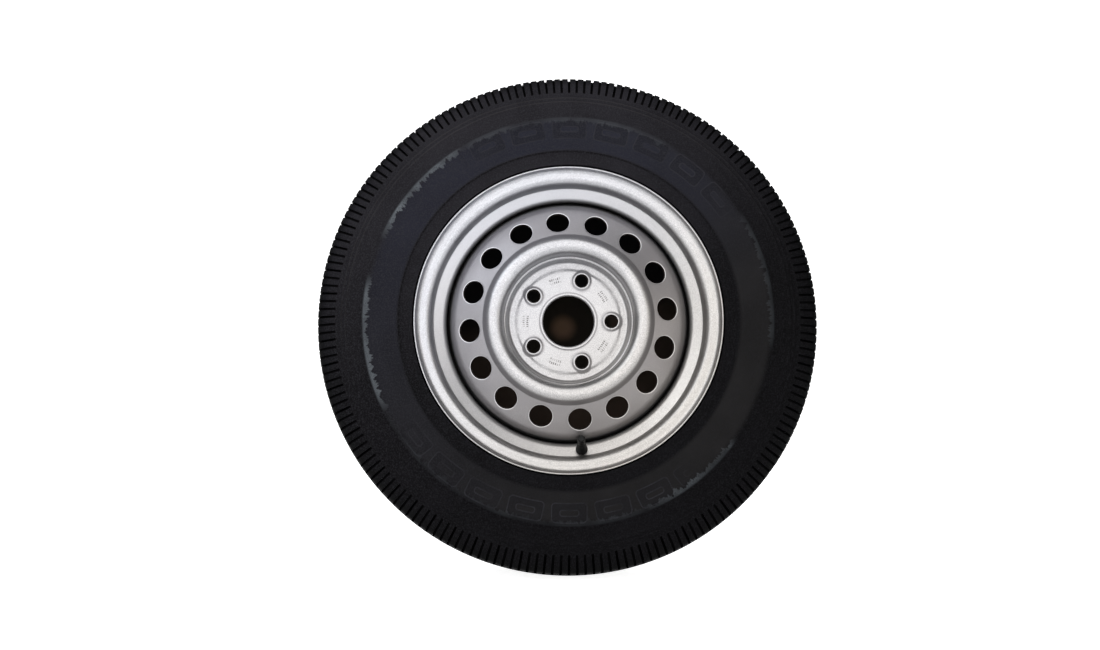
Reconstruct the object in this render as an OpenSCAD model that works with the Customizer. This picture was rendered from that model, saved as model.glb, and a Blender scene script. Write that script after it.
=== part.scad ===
// Trailer wheel: a pressed-steel wheel, 5.5J x 14, with a 185R14C van tyre and a snap-in valve.
// The origin is the wheel's centre. +Y is the spin axis and points inboard, +Z is up,
// and the dished face looks along -Y. Every profile below is drawn as [radius, y].

/* [Rim] */
// Distance between the two flange faces that hold the tyre
rim_width = 139.7; // [134:0.1:146]
// Radius of the bead seat where it meets the flange
seat_r = 177.4; // [175:0.1:180]
// Height of the flange above the bead seat
flange_h = 17.3; // [16:0.1:18.5]
// Radius of the flange's outward curl, on the tyre's side
curl_r = 9.5; // [8.5:0.1:10]
// How far the curled edge stands out past the flange face
lip_out = 11.5; // [10.5:0.1:12.5]
// Radius of the corner where the bead's heel sits
heel_r = 6.5; // [5:0.1:7.5]
// Thickness of the rim's sheet steel
rim_t = 2.4; // [2:0.1:2.8]
// Slope of the bead seat, in degrees
seat_taper = 5; // [4:0.5:6]
// Width of the bead seat, from the flange to the safety hump
seat_w = 18; // [17:0.1:19]
// Height of the safety hump above the end of the bead seat
hump_h = 1.3; // [0.8:0.1:1.6]
// Depth of the well below the bead seat
well_depth = 17.4; // [16.5:0.1:18.5]
// Distance from the outboard flange face to the well's front corner
well_inset = 31.8; // [30.5:0.1:33]
// Width of the well's floor, corner to corner
well_w = 46; // [42:0.5:50]
// Tilt of the well's front wall away from a flat disc, in degrees
well_tilt = 28; // [24:1:32]

/* [Disc] */
// Thickness of the disc's steel plate
disc_t = 4; // [3.5:0.1:4.5]
// Wheel offset: the mounting face lies this far outboard of the rim's middle
inset = 30; // [28:0.5:32]
// Radius of the hub bore
bore_r = 33.3; // [31:0.1:35]
// Wall of the collar that is turned out round the bore
collar_t = 4; // [3.5:0.1:4.5]
// Height of the collar above the hub face
collar_h = 3; // [2:0.1:4]
// Radius of the hub face that the bolts go through
hub_face_r = 66.8; // [66:0.1:67.6]
// How far the hub face stands out past the ring that meets the hub
hub_step = 1.2; // [0.8:0.1:1.6]
// Radius of the corner between that ring and the dished wall
foot_r = 77.6; // [76.5:0.1:79]
// How far the wall's lower part leans out, from its foot to the ledge
wall_lean = 3.2; // [2.6:0.1:3.6]
// Height of the ledge above the ring
ledge_h = 11; // [10:0.5:13]
// Width of the ledge in the wall
ledge_w = 3.2; // [3:0.1:3.8]
// Rise of the ledge over its width
ledge_rise = 1.8; // [1.4:0.1:2.2]
// Width of the crest, from the wall to the corner where it falls away
crest_w = 17.2; // [16:0.2:18.4]
// How far the crest stands out past the ring
crest_out = 39; // [37:0.5:39]
// Distance from the crest's outer corner to the valley
valley_out = 8.3; // [7.5:0.1:9.5]
// Depth of the valley below the crest's top
valley_drop = 9.9; // [9:0.1:10.8]
// Tilt of the vented cone away from a flat disc, in degrees
cone_tilt = 24.6; // [23:0.2:26]
// Radius of the bend from the cone into the pressed-in flange
disc_bend_r = 22; // [20:0.5:23]
// Distance from the end of that flange to the rim's middle
disc_end = 5.4; // [3:0.2:9]

/* [Vents] */
// Number of vent holes
vent_count = 16; // [12:1:18]
// Diameter of a vent hole
vent_d = 30; // [26:0.5:32]
// Radius of the circle that the vents lie on
vent_circle_r = 127.5; // [126:0.5:129]
// Angle of the first vent from the +X side, in degrees
vent_phase = 6.4; // [0:0.1:22]

/* [Bolt holes] */
// Number of wheel bolts
bolt_count = 5; // [4:1:5]
// Diameter of the bolt circle
bolt_pcd = 112; // [110:0.5:114]
// Diameter of a bolt hole
bolt_hole_d = 15; // [14:0.1:15.6]
// Diameter of the conical seat where it meets the boss
bolt_seat_d = 18.4; // [17.6:0.1:19]
// Included angle of the conical seat, in degrees
bolt_seat_angle = 60; // [60:5:90]
// Diameter of the pressed boss at its top
boss_d = 20.8; // [20:0.1:21.6]
// Height of the boss above the hub face
boss_h = 1.8; // [1.2:0.1:2.4]
// Slope of the boss's flank, in degrees
boss_slope = 32; // [28:1:40]

/* [Welds] */
// Number of weld beads between the disc and the rim
weld_count = 6; // [4:1:8]
// Length of one bead, in degrees
weld_arc = 24; // [16:1:36]
// Leg of the weld bead
weld_leg = 3.6; // [2.6:0.1:3.9]

/* [Tyre] */
// Radius of the tyre at the middle of its tread
tyre_r = 325; // [321:0.5:329]
// Width of the tyre over its sidewalls
section_w = 188; // [182:0.5:194]
// Distance between the tread's two edges
tread_w = 132; // [128:0.5:136]
// How far the tread's edge drops below its middle
tread_drop = 8.5; // [7:0.1:10]
// Thickness of the crown, from the tread's surface to the liner
crown_t = 12.8; // [12:0.1:14]
// Thickness of the sidewall where the tyre is widest
side_t = 8; // [7:0.1:9]
// Width of the bead, from heel to toe
bead_w = 17; // [15:0.1:17.5]
// Number of grooves round the tread
groove_count = 4; // [2:2:4]
// Distance between neighbouring grooves
groove_pitch = 27; // [25:0.5:28]
// Width of a groove at the surface
groove_w = 7.5; // [6:0.1:8]
// Depth of a groove
groove_depth = 8; // [7:0.1:8.4]
// Number of deep slots round each shoulder
slot_count = 64; // [48:1:72]
// Width of a shoulder slot
slot_w = 3.3; // [2.6:0.1:4]
// Depth of a shoulder slot at the tread's edge
slot_depth = 5; // [4:0.1:6]
// How far a shoulder slot runs in over the tread from its edge
slot_reach = 18; // [14:0.5:18]
// Space left between the bead and the rim
seat_gap = 0.1; // [0.05:0.05:0.2]

/* [Valve] */
// Angle of the valve round the wheel from the +X side, in degrees
valve_angle = 275.8; // [0:0.1:360]
// Diameter of the valve hole in the rim
valve_hole_d = 11.5; // [11:0.1:12]
// Diameter of the flat that is pressed in the rim for the valve
valve_pad_d = 18.3; // [18.2:0.1:19]
// Diameter of the rubber body's inner flange
valve_base_d = 17.8; // [17:0.1:18.1]
// Thickness of that flange
valve_base_t = 2.6; // [2:0.1:3.2]
// Diameter of the rubber body's bulb
valve_bulb_d = 15.2; // [14.4:0.1:15.6]
// Length of the rubber body outside the rim
valve_body_l = 21; // [20:0.1:22]
// Length of the stem outside the rim
stem_l = 31.8; // [31:0.1:33]
// Diameter of the stem's outside thread
stem_thread_d = 7.75; // [7.6:0.05:7.9]
// Diameter of the stem inside the rubber
stem_d = 5.6; // [5.4:0.1:6]
// Diameter of the air passage through the stem
air_d = 3.3; // [3.2:0.05:3.5]
// Diameter of the stem's inside thread, which holds the core
core_thread_d = 5.2; // [5.1:0.05:5.4]
// Outer diameter of the cap
cap_d = 9.8; // [9.6:0.1:10.4]
// Thickness of the cap's closed end
cap_end_t = 1.4; // [1:0.1:2]
// Thickness of the cap's rubber seal
cap_seal_t = 1.1; // [0.9:0.05:1.4]
// Radial clearance between the cap and the stem's thread
cap_gap = 0.075; // [0.05:0.005:0.1]
// Number of grip flutes round the cap
cap_flutes = 18; // [12:1:20]

/* [Valve core] */
// Diameter of the core's barrel
barrel_d = 2.9; // [2.8:0.05:3]
// Bore of the barrel, which the spring works in
barrel_bore = 2.1; // [2.05:0.05:2.2]
// Length of the barrel below the plug
barrel_l = 12.6; // [12:0.1:13]
// Length of the threaded plug
plug_l = 4; // [3.6:0.1:4.4]
// How far the plug and the pin's tip lie below the stem's mouth
core_sunk = 0.6; // [0.4:0.05:0.8]
// Diameter of the core's pin
pin_d = 0.9; // [0.8:0.05:1]
// Radial clearance of the pin in its two guides
pin_gap = 0.05; // [0.03:0.01:0.08]
// Diameter of the spring's wire
wire_d = 0.22; // [0.18:0.01:0.25]
// Number of turns of the spring
spring_turns = 9; // [7:1:11]

/* [Hidden] */
$fn = 96;
arc_step = 9;

// Rim: corners of its section
half_w = rim_width / 2;
lip_r = seat_r + flange_h;
lip_y = half_w + lip_out;
seat_end_r = seat_r - seat_w * tan(seat_taper);
hump_w = 5.6;
ledge_r = seat_end_r - 0.6;
well_r = seat_r - well_depth;
well_front_y = -(half_w - well_inset);
wall_top_y = well_front_y - (ledge_r - well_r) * tan(well_tilt);
well_back_y = well_front_y + well_w;
shelf_r = ledge_r - 3.4;
shelf_y = (well_back_y + half_w - seat_w - hump_w) / 2;

// Disc: heights and corners of its front surface
flange_r = well_r - rim_t;
ring_y = -inset - disc_t;
hub_y = ring_y - hub_step;
hub_back_y = hub_y + disc_t;
crest_y = ring_y - crest_out;
ledge_y = ring_y - ledge_h;
wall_r = foot_r + wall_lean + ledge_w;
crest_r = wall_r + crest_w;
crest_round = crest_w * 0.65;
valley_r = crest_r + valley_out;
valley_y = crest_y + valley_drop;
bend_y = valley_y + (flange_r - valley_r) * tan(cone_tilt);
vent_y = valley_y + (vent_circle_r - valley_r) * tan(cone_tilt);
collar_round = 1;
collar_lead = 1.2;

// Tyre: the outline keeps clear of the curled lip and swells to the section width
side_start_r = lip_r + 1.5;
shoulder_r = tyre_r - tread_drop;
side_end_r = shoulder_r - 13;
side_end_y = (section_w + tread_w) / 4 - 0.4;
shoulder_w = side_end_y - tread_w / 2;
side_start_y = lip_y + 1.8;
side_sag = section_w / 2 - (side_start_y + side_end_y) / 2;
liner_r = tyre_r - crown_t;
liner_end_y = side_end_y - side_t - 0.6;
liner_start_y = side_start_y - 13.5;
liner_sag = section_w / 2 - side_t - (liner_end_y + liner_start_y) / 2;

// Valve: its seat lies halfway up the well's front wall, and s is measured out from there
valve_seat_r = (ledge_r + well_r) / 2;
valve_seat_y = (wall_top_y + well_front_y) / 2;
valve_fit = 0.1;
pad_backing = 0.6;
stem_foot_s = -rim_t - valve_base_t - 0.4;
stem_swell_s = valve_body_l - 4.5;
core_mouth_s = stem_l - core_sunk;
plug_foot_s = core_mouth_s - plug_l;
seal_top_s = plug_foot_s - 1.6;
seal_l = 3;
seal_top_d = core_thread_d - 1;
seal_foot_d = seal_top_d - 0.6;
barrel_foot_s = plug_foot_s - barrel_l;
barrel_floor = 0.6;
thread_fit = 0.05;
collar_s = plug_foot_s - 1.2;
collar_l = 0.8;
cup_l = 1.6;
cap_foot_s = valve_body_l + 0.2;
cap_seat_s = stem_l + 0.05;
cap_roof_s = cap_seat_s + cap_seal_t;

// Unit vector from a to b
function way(a, b) = (b - a) / norm(b - a);

// The points in opposite order
function backwards(points) = [for (i = [len(points) - 1 : -1 : 0]) points[i]];

// The points mirrored across the rim's middle
function mirrored(points) = [for (p = points) [p[0], -p[1]]];

// Points of the arc that rounds corner p, a [radius, y, fillet], between corners a and b.
// The fillet is no larger than its shorter leg has room for.
function fillet(a, p, b) =
    let (
        q = [p[0], p[1]],
        u = way(q, [a[0], a[1]]),
        v = way(q, [b[0], b[1]]),
        half = acos(u * v) / 2,
        leg = min(norm([a[0], a[1]] - q), norm([b[0], b[1]] - q)),
        r = min(p[2], leg * tan(half)),
        c = q + way([0, 0], u + v) * r / sin(half),
        from = q + u * r / tan(half) - c,
        start = atan2(from[1], from[0]),
        turn = (cross(u, v) > 0 ? -1 : 1) * (180 - 2 * half),
        n = max(2, ceil(abs(turn) / arc_step))
    )
    [for (i = [0 : n]) c + r * [cos(start + turn * i / n), sin(start + turn * i / n)]];

// A line through corners [radius, y, fillet], each rounded by its own fillet
function rounded(corners) = [
    for (i = [0 : len(corners) - 1])
        each (i == 0 || i == len(corners) - 1 || corners[i][2] == 0
            ? [[corners[i][0], corners[i][1]]]
            : fillet(corners[i - 1], corners[i], corners[i + 1]))
];

// The line moved sideways by d, to the left of its way
function shifted(line, d) = [
    for (i = [0 : len(line) - 1])
        let (
            before = i == 0 ? way(line[0], line[1]) : way(line[i - 1], line[i]),
            after = i == len(line) - 1 ? before : way(line[i], line[i + 1]),
            left = [-before[1] - after[1], before[0] + after[0]]
        )
        line[i] + left * d / (1 + before * after)
];

// Section of a sheet of thickness t, whose one face is the line
function sheet(line, t) = concat(line, backwards(shifted(line, t)));

// Points of a flat arc from a to b that swells to the left by sag
function bow(a, b, sag, n) =
    let (
        half = norm(b - a) / 2,
        r = (half * half + sag * sag) / (2 * sag),
        along = way(a, b),
        left = [-along[1], along[0]],
        c = (a + b) / 2 - left * (r - sag),
        open = asin(half / r)
    )
    [for (i = [0 : n])
        let (t = open * (2 * i / n - 1))
        c + r * (along * sin(t) + left * cos(t))];

// Turns a [radius, y] section about the wheel's axis
module turned(angle = 360) {
    rotate([-90, 0, 0])
        rotate_extrude(angle = angle, $fn = 180)
            children();
}

// Moves to an angle round the wheel, seen from the dished side
module around(angle) {
    rotate([0, -angle, 0])
        children();
}

// Moves to the valve's seat, with +Z out along the valve
module at_valve() {
    around(valve_angle)
        translate([valve_seat_r, valve_seat_y, 0])
            rotate([0, 0, -well_tilt])
                rotate([90, 0, 0])
                    translate([0, 0, rim_t])
                        children();
}

// A turned piece on the valve's axis, from a [radius, s] section
module valve_turned(section) {
    at_valve()
        rotate_extrude($fn = 64)
            polygon(section);
}

// Corners of the rim's tyre side from one lip to the hump, side is -1 outboard and 1 inboard
function flange_side(side) = [
    [lip_r, side * lip_y, 0],
    [lip_r, side * half_w, curl_r],
    [seat_r, side * half_w, heel_r],
    [seat_end_r, side * (half_w - seat_w), 3],
    [seat_end_r + hump_h, side * (half_w - seat_w - hump_w / 2), 3]
];

function rim_line() = rounded(concat(
    flange_side(-1),
    [
        [ledge_r, wall_top_y, 4],
        [well_r, well_front_y, 8],
        [well_r, well_back_y, 14],
        [shelf_r, shelf_y, 14],
        [ledge_r, half_w - seat_w - hump_w - 1, 4]
    ],
    backwards(flange_side(1))
));

// Rolled rim: two flanges, bead seats with humps, drop-centre well, valve flat and hole
module rim() {
    color("silver")
        difference() {
            union() {
                turned()
                    polygon(sheet(rim_line(), rim_t));
                at_valve()
                    translate([0, 0, -rim_t])
                        cylinder(d = valve_pad_d + 2 * pad_backing, h = rim_t);
            }
            at_valve() {
                translate([0, 0, -rim_t - 5])
                    cylinder(d = valve_pad_d, h = 5);
                translate([0, 0, -rim_t - 1])
                    cylinder(d = valve_hole_d, h = rim_t + 2);
            }
        }
}

// Front surface of the pressed disc, from the bore to the end of its flange
function disc_line() = rounded([
    [bore_r, hub_y, 0],
    [hub_face_r, hub_y, disc_t + 1],
    [hub_face_r + 2.2, ring_y, 2],
    [foot_r, ring_y, 3.5],
    [foot_r + wall_lean, ledge_y, disc_t + 0.5],
    [wall_r, ledge_y - ledge_rise, 2],
    [wall_r, crest_y, crest_round],
    [crest_r, crest_y, crest_round],
    [valley_r, valley_y, 4],
    [flange_r, bend_y, disc_bend_r],
    [flange_r, -disc_end, 0]
]);

// Collar turned out round the bore, with a rounded rim and a lead on its inner edge
function collar_line() = rounded([
    [bore_r, hub_back_y, 0],
    [bore_r, hub_y - collar_h + collar_lead, 0],
    [bore_r + collar_lead, hub_y - collar_h, 0],
    [bore_r + collar_t, hub_y - collar_h, collar_round],
    [bore_r + collar_t, hub_back_y, 0]
]);

// Raised boss round a bolt hole, on the disc's front
module bolt_boss() {
    sunk = hub_step + 0.6;
    flank = 1 / tan(boss_slope);
    translate([bolt_pcd / 2, hub_y + sunk, 0])
        rotate([90, 0, 0])
            cylinder(
                r1 = boss_d / 2 + (boss_h + sunk) * flank,
                r2 = boss_d / 2,
                h = boss_h + sunk
            );
}

// Bolt hole with its conical seat, cut from the front
module bolt_hole() {
    top = boss_h + disc_t;
    cone_h = (bolt_seat_d - bolt_hole_d) / 2 / tan(bolt_seat_angle / 2);
    translate([bolt_pcd / 2, hub_back_y, 0])
        rotate([90, 0, 0]) {
            translate([0, 0, -2])
                cylinder(d = bolt_hole_d, h = top + 4);
            translate([0, 0, top - cone_h])
                cylinder(d1 = bolt_hole_d, d2 = 2 * bolt_seat_d - bolt_hole_d, h = 2 * cone_h);
        }
}

// Vent hole, punched square to the cone
module vent_hole() {
    translate([vent_circle_r, vent_y, 0])
        rotate([0, 0, cone_tilt])
            rotate([90, 0, 0])
                translate([0, 0, -3 * disc_t])
                    cylinder(d = vent_d, h = 5 * disc_t);
}

// Pressed disc: bore collar, bolt bosses, dished wall, crest, vented cone and flange
module wheel_disc() {
    color("lightgray")
        difference() {
            union() {
                turned()
                    polygon(sheet(disc_line(), disc_t));
                turned()
                    polygon(collar_line());
                for (i = [0 : bolt_count - 1])
                    around(i * 360 / bolt_count)
                        bolt_boss();
            }
            for (i = [0 : bolt_count - 1])
                around(i * 360 / bolt_count)
                    bolt_hole();
            for (i = [0 : vent_count - 1])
                around(vent_phase + i * 360 / vent_count)
                    vent_hole();
        }
}

// Weld beads in the corner between the end of the disc's flange and the well
module disc_welds() {
    color("gray")
        for (i = [0 : weld_count - 1])
            around(i * 360 / weld_count)
                turned(weld_arc)
                    polygon(rounded([
                        [flange_r, -disc_end, 0],
                        [flange_r - weld_leg, -disc_end, 0],
                        [flange_r - weld_leg * 0.62, -disc_end + weld_leg * 0.62, weld_leg],
                        [flange_r, -disc_end + weld_leg, 0]
                    ]));
}

// Half of the tyre's outer line, from the bead's toe to the outboard edge of the tread
function tyre_outer() = concat(
    rounded([
        [seat_r - bead_w * tan(seat_taper) + seat_gap, bead_w - half_w, 0],
        [seat_r + seat_gap, seat_gap - half_w, heel_r - seat_gap],
        [side_start_r, seat_gap - half_w, curl_r + 1],
        [side_start_r, -side_start_y, 0]
    ]),
    bow([side_start_r + 2, -side_start_y], [side_end_r, -side_end_y], -side_sag, 20),
    rounded([
        [side_end_r + 5, 0.21 * shoulder_w - side_end_y, 0],
        [shoulder_r - 2.5, -tread_w / 2 - 0.44 * shoulder_w, shoulder_w / 2],
        [shoulder_r, -tread_w / 2, 0]
    ])
);

// The crown between the tread's edges
function tyre_crown() = bow([shoulder_r, -tread_w / 2], [shoulder_r, tread_w / 2], -tread_drop, 24);

// Half of the liner, from the tread's middle to the bead's toe
function tyre_liner() = concat(
    [
        [liner_r, 0],
        [liner_r - 1, -tread_w * 0.2]
    ],
    rounded([
        [liner_r - 2.4, -tread_w * 0.33, 0],
        [liner_r - 5.5, -tread_w / 2 + 4, 16],
        [side_end_r - 2, 1.4 - liner_end_y, 0]
    ]),
    bow([side_end_r - 8, -liner_end_y], [side_start_r + 18, -liner_start_y], liner_sag, 16),
    rounded([
        [side_start_r + 8, 11 - liner_start_y, 0],
        [seat_r + 10, bead_w - half_w - 3, 8],
        [seat_r + 1.5, bead_w - half_w + 0.8, 2],
        [seat_r - bead_w * tan(seat_taper) + seat_gap, bead_w - half_w, 0]
    ])
);

// One groove, with walls that lean apart
module groove(y) {
    translate([tyre_r - groove_depth, y])
        polygon([
            [0, -groove_w * 0.32],
            [groove_depth + 3, -groove_w * 0.62],
            [groove_depth + 3, groove_w * 0.62],
            [0, groove_w * 0.32]
        ]);
}

// One slot down the shoulder and in over the tread's edge, side is -1 outboard and 1 inboard
module shoulder_slot(side) {
    slot_floor = rounded([
        [side_end_r - 14, side * (side_end_y + 7), 0],
        [side_end_r - 2, side * (side_end_y + 2 - slot_depth), 12],
        [shoulder_r - 1 - slot_depth, side * (tread_w / 2 + 1), 8],
        [shoulder_r + 7 - slot_depth, side * (tread_w / 2 - slot_reach), 0]
    ]);
    translate([0, 0, -slot_w / 2])
        linear_extrude(slot_w)
            polygon(concat(slot_floor, [
                [tyre_r + 5, side * (tread_w / 2 - slot_reach)],
                [tyre_r + 5, side * section_w / 2],
                [side_end_r - 14, side * section_w / 2]
            ]));
}

// Moulded tyre, seated on both bead seats
module tyre() {
    outline = concat(
        tyre_outer(),
        tyre_crown(),
        backwards(mirrored(tyre_outer())),
        backwards(mirrored(tyre_liner())),
        tyre_liner()
    );
    color("dimgray")
        difference() {
            turned()
                difference() {
                    polygon(outline);
                    for (i = [0 : groove_count - 1])
                        groove((i - (groove_count - 1) / 2) * groove_pitch);
                }
            for (side = [-1, 1], i = [0 : slot_count - 1])
                around(i * 360 / slot_count)
                    shoulder_slot(side);
        }
}

// Moulded rubber body of the snap-in valve: inner flange, neck, bulb and taper
module valve_body() {
    color("black")
        valve_turned([
            [stem_d / 2 + 1.1, -rim_t - valve_base_t - 0.4],
            [valve_base_d / 2 - 1.4, -rim_t - valve_base_t],
            [valve_base_d / 2, -rim_t - valve_base_t + 1],
            [valve_base_d / 2, -rim_t - valve_fit],
            [valve_hole_d / 2 - valve_fit, -rim_t - valve_fit],
            [valve_hole_d / 2 - valve_fit, valve_fit],
            [valve_bulb_d / 2 - 0.7, valve_fit],
            [valve_bulb_d / 2, 1.4],
            [valve_bulb_d / 2, 3.6],
            [valve_bulb_d / 2 - 0.8, 7],
            [valve_bulb_d / 2 - 2.1, valve_body_l - 7],
            [valve_bulb_d / 2 - 2.7, valve_body_l - 1],
            [valve_bulb_d / 2 - 3.1, valve_body_l],
            [stem_thread_d / 2, valve_body_l],
            [stem_thread_d / 2, stem_swell_s + 2],
            [stem_d / 2, stem_swell_s],
            [stem_d / 2, -rim_t - 0.4],
            [stem_d / 2 + 1.1, -rim_t - 1.6]
        ]);
}

// Brass stem: flared foot, thread for the cap, and a stepped bore for the core
module valve_stem() {
    color("goldenrod")
        valve_turned([
            [air_d / 2, stem_foot_s],
            [stem_d / 2 + 1.1, stem_foot_s],
            [stem_d / 2 + 1.1, -rim_t - 1.6],
            [stem_d / 2, -rim_t - 0.4],
            [stem_d / 2, stem_swell_s],
            [stem_thread_d / 2, stem_swell_s + 2],
            [stem_thread_d / 2, stem_l - 0.6],
            [stem_thread_d / 2 - 0.5, stem_l],
            [core_thread_d / 2 + thread_fit + 0.3, stem_l],
            [core_thread_d / 2 + thread_fit, stem_l - 0.3],
            [core_thread_d / 2 + thread_fit, plug_foot_s],
            [seal_top_d / 2, plug_foot_s - 0.6],
            [seal_top_d / 2, seal_top_s],
            [seal_foot_d / 2, seal_top_s - seal_l],
            [air_d / 2, seal_top_s - seal_l - 0.6]
        ]);
}

// Threaded plug of the core: slotted for the key, with a guide hole for the pin
module core_plug() {
    color("khaki")
        difference() {
            valve_turned([
                [pin_d / 2 + pin_gap, plug_foot_s],
                [core_thread_d / 2, plug_foot_s],
                [core_thread_d / 2, core_mouth_s - 0.3],
                [core_thread_d / 2 - 0.3, core_mouth_s],
                [pin_d / 2 + pin_gap, core_mouth_s]
            ]);
            at_valve()
                for (side = [-1, 1])
                    translate([side * core_thread_d / 2, 0, core_mouth_s])
                        cube([core_thread_d - 2.6, core_thread_d + 1, 3], center = true);
        }
}

// Barrel that hangs from the plug, with a floor for the spring and a guide hole
module core_barrel() {
    color("peru")
        valve_turned([
            [pin_d / 2 + pin_gap, barrel_foot_s],
            [barrel_d / 2, barrel_foot_s],
            [barrel_d / 2, plug_foot_s],
            [barrel_bore / 2, plug_foot_s],
            [barrel_bore / 2, barrel_foot_s + barrel_floor],
            [pin_d / 2 + pin_gap, barrel_foot_s + barrel_floor]
        ]);
}

// Tapered gasket round the barrel, pressed on the stem's conical seat
module core_barrel_seal() {
    color("tomato")
        valve_turned([
            [barrel_d / 2, seal_top_s - seal_l],
            [seal_foot_d / 2, seal_top_s - seal_l],
            [seal_top_d / 2, seal_top_s],
            [barrel_d / 2, seal_top_s]
        ]);
}

// Pin of the core, with the collar that the spring pushes on
module core_pin() {
    color("gold")
        valve_turned([
            [0, barrel_foot_s - cup_l],
            [pin_d / 2, barrel_foot_s - cup_l],
            [pin_d / 2, collar_s - collar_l],
            [barrel_bore / 2 - 0.12, collar_s - collar_l],
            [barrel_bore / 2 - 0.12, collar_s],
            [pin_d / 2, collar_s],
            [pin_d / 2, core_mouth_s - 0.1],
            [pin_d / 2 - 0.15, core_mouth_s + 0.15],
            [0, core_mouth_s + 0.15]
        ]);
}

// Rubber-faced cup on the pin's foot, which closes the barrel from below
module core_cup_seal() {
    color("dimgray")
        valve_turned([
            [pin_d / 2, barrel_foot_s - cup_l],
            [barrel_d / 2 - 0.3, barrel_foot_s - cup_l],
            [barrel_d / 2, barrel_foot_s - cup_l + 0.5],
            [barrel_d / 2, barrel_foot_s - 0.02],
            [pin_d / 2, barrel_foot_s - 0.02]
        ]);
}

// Coil spring between the barrel's floor and the pin's collar
module core_spring() {
    sides = 6;
    steps = spring_turns * 12;
    coil_r = (pin_d + barrel_bore) / 4;
    low = barrel_foot_s + barrel_floor + wire_d / 2 + 0.03;
    high = collar_s - collar_l - wire_d / 2 - 0.03;
    rings = [
        for (i = [0 : steps])
            let (
                t = 360 * spring_turns * i / steps,
                s = low + (high - low) * i / steps
            )
            [for (k = [0 : sides - 1])
                let (
                    a = 360 * k / sides,
                    r = coil_r + wire_d / 2 * cos(a)
                )
                [r * cos(t), r * sin(t), s + wire_d / 2 * sin(a)]]
    ];
    points = [for (ring = rings) each ring];
    walls = [
        for (i = [0 : steps - 1], k = [0 : sides - 1])
            let (n = (k + 1) % sides)
            [i * sides + n, (i + 1) * sides + n, (i + 1) * sides + k, i * sides + k]
    ];
    first = [for (k = [sides - 1 : -1 : 0]) k];
    last = [for (k = [0 : sides - 1]) steps * sides + k];
    color("slategray")
        at_valve()
            polyhedron(points = points, faces = concat(walls, [first, last]), convexity = 10);
}

// Screw cap with grip flutes, over the stem's thread
module valve_cap() {
    bore = stem_thread_d / 2 + cap_gap;
    color("darkslategray")
        difference() {
            valve_turned([
                [0, cap_roof_s],
                [bore, cap_roof_s],
                [bore, cap_foot_s],
                [cap_d / 2, cap_foot_s],
                [cap_d / 2, cap_roof_s - 1.2],
                [cap_d / 2 - 0.4, cap_roof_s],
                [cap_d / 2 - 1.2, cap_roof_s + cap_end_t - 0.3],
                [cap_d / 2 - 2.4, cap_roof_s + cap_end_t],
                [0, cap_roof_s + cap_end_t]
            ]);
            at_valve()
                for (i = [0 : cap_flutes - 1])
                    rotate([0, 0, i * 360 / cap_flutes])
                        translate([cap_d / 2 + 0.25, 0, cap_foot_s + 1.2])
                            cylinder(r = 0.5, h = cap_roof_s, $fn = 16);
        }
}

// Rubber washer under the cap's closed end
module cap_seal() {
    color("dimgray")
        valve_turned([
            [1.4, cap_seat_s],
            [stem_thread_d / 2 - 0.1, cap_seat_s],
            [stem_thread_d / 2 - 0.1, cap_roof_s],
            [1.4, cap_roof_s]
        ]);
}

tyre();
rim();
wheel_disc();
disc_welds();
valve_body();
valve_stem();
core_plug();
core_barrel();
core_barrel_seal();
core_pin();
core_cup_seal();
core_spring();
valve_cap();
cap_seal();
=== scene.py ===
# %% [markdown]
# # A pressed steel trailer wheel
#
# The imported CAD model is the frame. This lesson dresses it: a moulded tyre, a rolled rim, a pressed
# disc with sixteen vents, and a snap-in valve, in worn silver paint and dull black rubber.
# The wheel's axis is Y. The dished side faces -Y, towards the camera, and Z is up.

# %% Load the frame
import math

import bmesh
import bpy
from mathutils import Matrix, Vector


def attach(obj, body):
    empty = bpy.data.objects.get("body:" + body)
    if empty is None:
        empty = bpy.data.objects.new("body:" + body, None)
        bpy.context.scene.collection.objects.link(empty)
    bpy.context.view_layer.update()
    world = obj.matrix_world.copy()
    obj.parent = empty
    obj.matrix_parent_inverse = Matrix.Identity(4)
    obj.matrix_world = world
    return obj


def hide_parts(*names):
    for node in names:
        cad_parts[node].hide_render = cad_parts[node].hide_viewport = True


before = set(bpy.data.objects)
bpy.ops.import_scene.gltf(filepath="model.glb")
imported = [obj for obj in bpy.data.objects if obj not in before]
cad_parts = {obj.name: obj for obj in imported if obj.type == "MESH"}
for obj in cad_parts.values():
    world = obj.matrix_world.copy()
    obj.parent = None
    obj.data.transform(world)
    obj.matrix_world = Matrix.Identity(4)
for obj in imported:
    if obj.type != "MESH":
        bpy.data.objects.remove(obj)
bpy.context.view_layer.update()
MM = 0.001
print("nodes:", ", ".join(sorted(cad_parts)))


# %% [markdown]
# ## Section lines
#
# A tyre, a rolled rim and a pressed disc are all round, so each is fully told by its section. It
# could be drawn as a curve object, but a plain list of corners is easier to change. Every line of
# corners lies in the half plane through the axis. A corner is (radius, y, fillet) in millimetres,
# and the fillet is turned into short chords.

# %% Tools for section lines
CHORD_TURN = math.radians(8)
HIDDEN_CHORD_TURN = math.radians(20)


def fillet(before, corner, after, chord):
    """Points of the arc that rounds a corner, each chord turning no more than the given angle."""
    p = Vector(corner[:2])
    to_before = (Vector(before[:2]) - p).normalized()
    to_after = (Vector(after[:2]) - p).normalized()
    half = math.acos(max(-1, min(1, to_before.dot(to_after)))) / 2
    centre = p + (to_before + to_after).normalized() * corner[2] / math.sin(half)
    start = p + to_before * corner[2] / math.tan(half) - centre
    turn = math.pi - 2 * half
    if to_before.x * to_after.y - to_before.y * to_after.x > 0:
        turn = -turn
    count = max(2, math.ceil(abs(turn) / chord))
    first = math.atan2(start.y, start.x)
    angles = [first + turn * i / count for i in range(count + 1)]
    return [centre + corner[2] * Vector((math.cos(t), math.sin(t))) for t in angles]


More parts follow.
